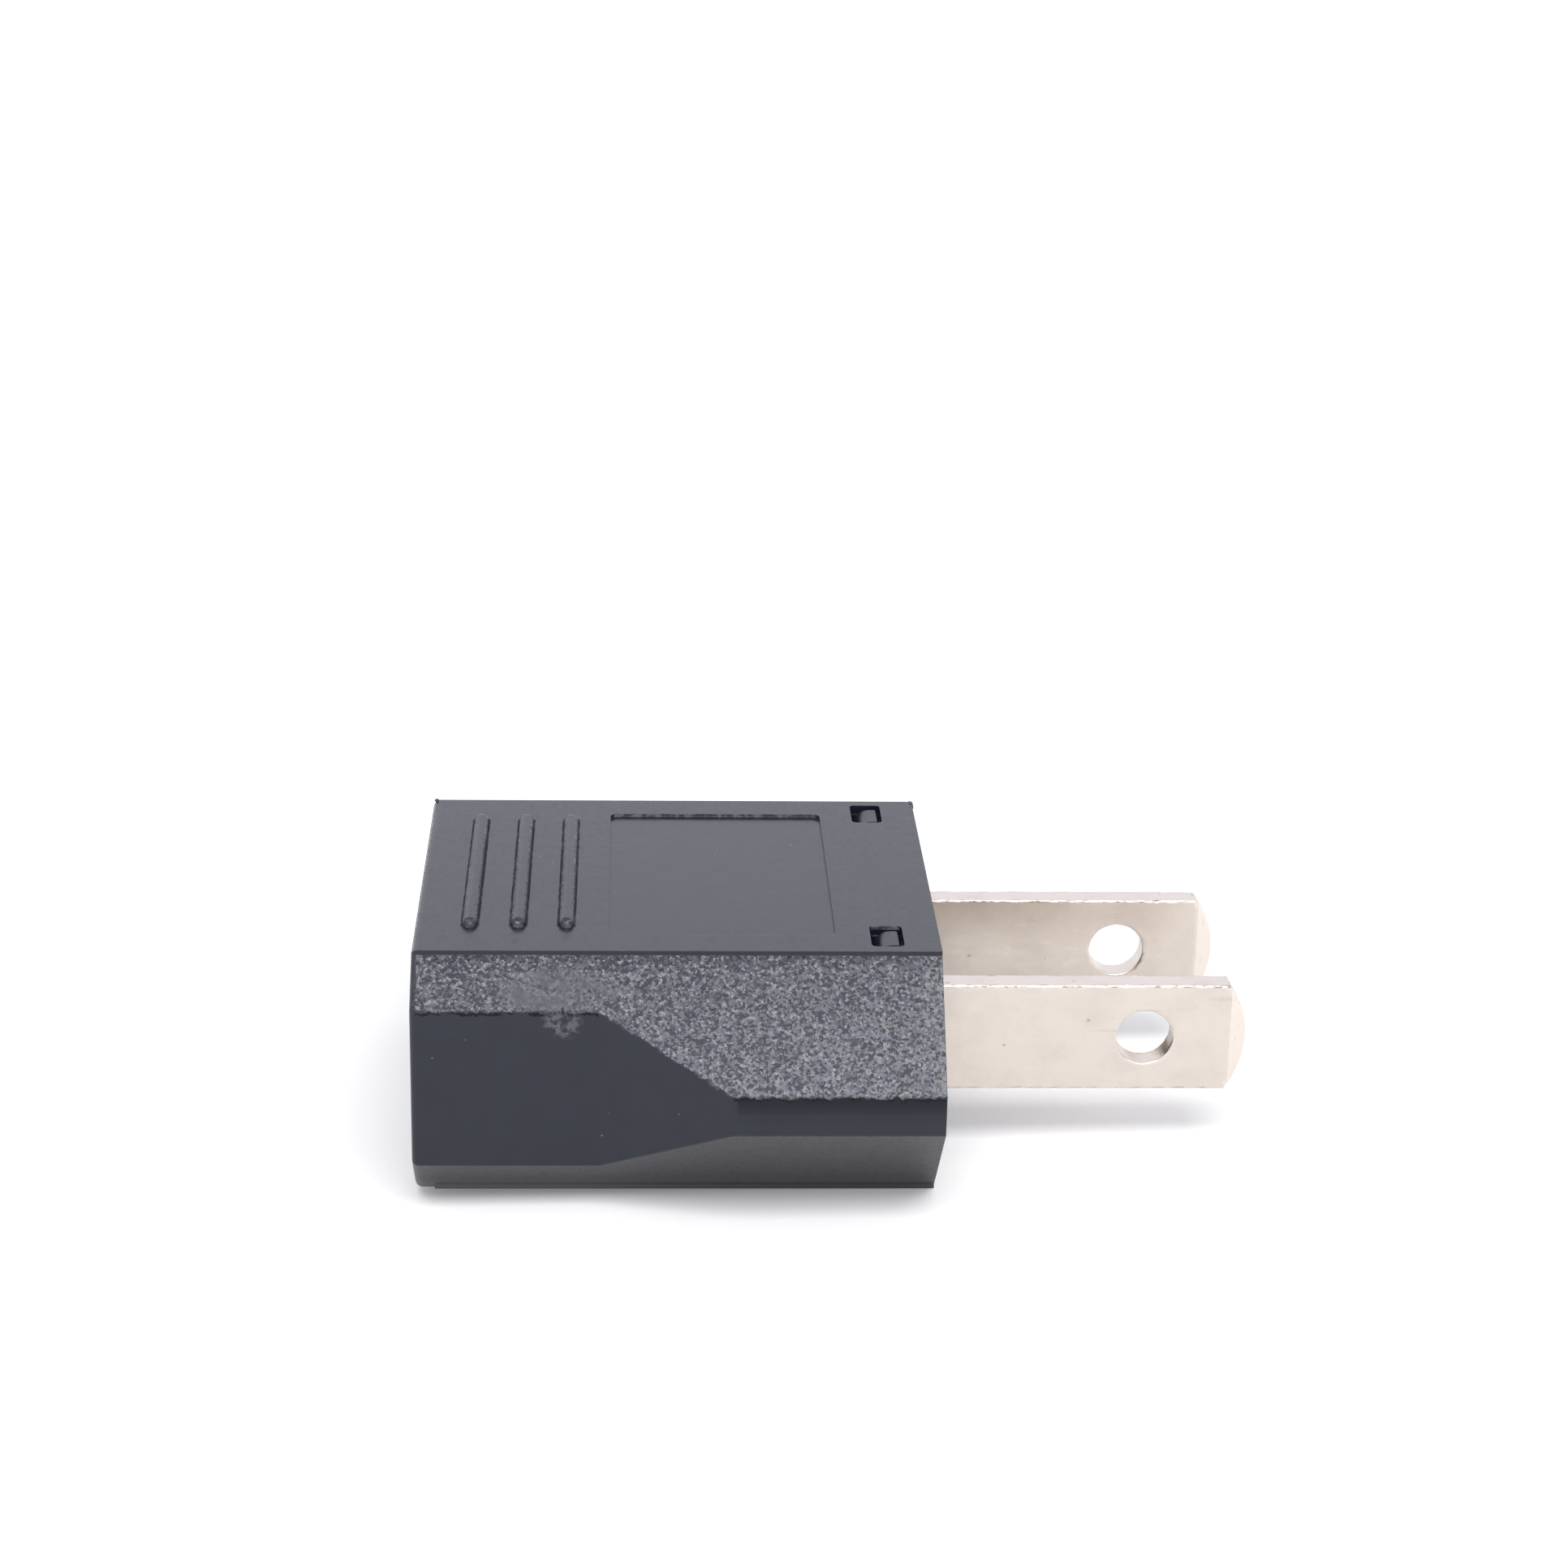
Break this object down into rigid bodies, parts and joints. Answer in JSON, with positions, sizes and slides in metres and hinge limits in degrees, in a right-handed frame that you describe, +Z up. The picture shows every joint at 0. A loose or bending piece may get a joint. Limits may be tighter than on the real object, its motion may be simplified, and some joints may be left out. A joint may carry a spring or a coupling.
{
  "type": "travel adapter",
  "caption": "Flat black travel adapter: a waisted moulded housing with a round-pin socket at one end and parallel flat blades at the other.",
  "frame": {"origin": "centre of the overall box in plan, at the crests of the lower grip ribs", "axes": "+X along the blades, away from the socket; +Y to the left seen from the socket end; +Z up, square to the flat faces"},
  "size_m": [0.0466, 0.0348, 0.0152],
  "materials": {
    "housing_plastic": "satin black, spark-eroded texture on the chamfers",
    "carrier_plastic": "satin black",
    "plated_brass": "nickel plated, satin",
    "spring_bronze": "bare rolled strip",
    "rivet_brass": "bare"
  },
  "bodies": {
    "root": {"housing": "housing_plastic", "blade_carrier": "carrier_plastic", "blade_left": "plated_brass", "blade_right": "plated_brass", "contact_left": "spring_bronze", "contact_right": "spring_bronze", "contact_rivets": "rivet_brass"}
  },
  "joints": []
}
